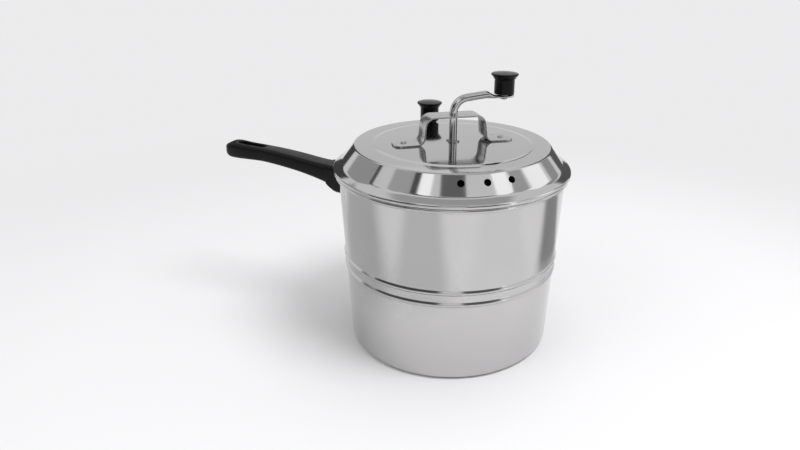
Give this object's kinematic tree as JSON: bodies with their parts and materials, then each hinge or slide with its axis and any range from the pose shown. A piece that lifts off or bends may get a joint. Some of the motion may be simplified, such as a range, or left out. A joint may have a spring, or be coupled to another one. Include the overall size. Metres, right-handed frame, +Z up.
{
  "type": "stovetop popcorn popper",
  "caption": "Stovetop popcorn popper: beaded metal pan with one long handle, and a vented lid whose bent crank turns a wire stirrer above the floor of the pan.",
  "frame": {"origin": "centre of the pan's flat underside", "axes": "+Z up through the crank's shaft, -X along the handle, +Y to the right of someone who looks along the handle from its end"},
  "size_m": [0.3647, 0.2318, 0.2684],
  "materials": {
    "pan_steel": "polished, faint brushing round the wall",
    "lid_steel": "mirror polished",
    "strap_steel": "polished",
    "rivet_steel": "bright",
    "rod_steel": "plated bar, bright",
    "stirrer_steel": "drawn wire",
    "fastener_steel": "turned and plated",
    "handle_phenolic": "moulded, satin sheen",
    "knob_phenolic": "moulded, glossy"
  },
  "bodies": {
    "pot": {"pot_shell": "pan_steel", "handle_bracket": "fastener_steel", "handle_rivets": "rivet_steel", "handle_base": "handle_phenolic", "handle_grip": "handle_phenolic", "handle_screw": "fastener_steel"},
    "lid": {"lid_shell": "lid_steel", "lid_bracket": "strap_steel", "bracket_rivets": "rivet_steel", "lid_bush": "fastener_steel", "lid_knob": "knob_phenolic", "lid_knob_insert": "fastener_steel", "lid_knob_spacer": "knob_phenolic", "lid_knob_screw": "fastener_steel"},
    "crank": {"crank_rod": "rod_steel", "rod_clip_upper": "fastener_steel", "rod_clip_lower": "fastener_steel", "rod_washer": "fastener_steel", "stirrer_wire_lower": "stirrer_steel", "stirrer_wire_upper": "stirrer_steel", "knob_washer": "fastener_steel"},
    "crank_knob": {"crank_knob": "knob_phenolic", "knob_insert": "fastener_steel", "knob_screw": "fastener_steel"}
  },
  "joints": [
    {"name": "lid_lift", "type": "slide", "parent": "pot", "child": "lid", "axis": [0, 0, 1], "range_m": [0, 0.19]},
    {"name": "crank_turn", "type": "hinge", "parent": "lid", "child": "crank", "pos_m": [0, 0, 0.2], "axis": [0, 0, 1], "continuous": true},
    {"name": "knob_spin", "type": "hinge", "parent": "crank", "child": "crank_knob", "pos_m": [0.04301, 0.0274, 0.25], "axis": [0, 0, 1], "continuous": true}
  ]
}
